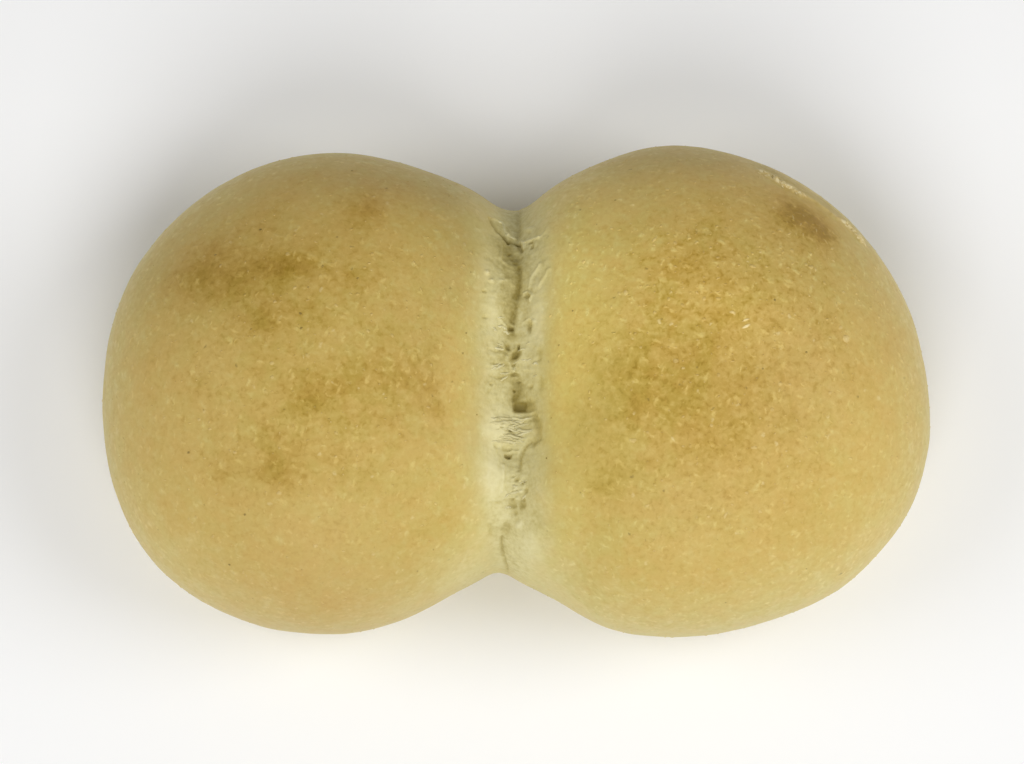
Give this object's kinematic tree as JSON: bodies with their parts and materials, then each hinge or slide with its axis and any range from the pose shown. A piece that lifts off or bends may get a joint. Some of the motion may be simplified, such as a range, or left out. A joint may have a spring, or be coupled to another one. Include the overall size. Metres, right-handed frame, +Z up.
{
  "type": "potato bread",
  "caption": "Potato bread roll: soft domed golden buns baked side by side and grown into one piece, with a torn pale seam between them.",
  "frame": {"origin": "under the middle of the roll, in the plane of its flat base", "axes": "+X along the pair of buns, from the left bun to the right one as the picture shows them; +Y across them, to the picture's top; +Z up, out of the crowns"},
  "size_m": [0.1498, 0.0892, 0.0512],
  "materials": {
    "crust": "soft golden baked crust, matt with a faint sheen, paler at the sides and along the torn seam"
  },
  "bodies": {
    "root": {"potato_bread": "crust"}
  },
  "joints": []
}
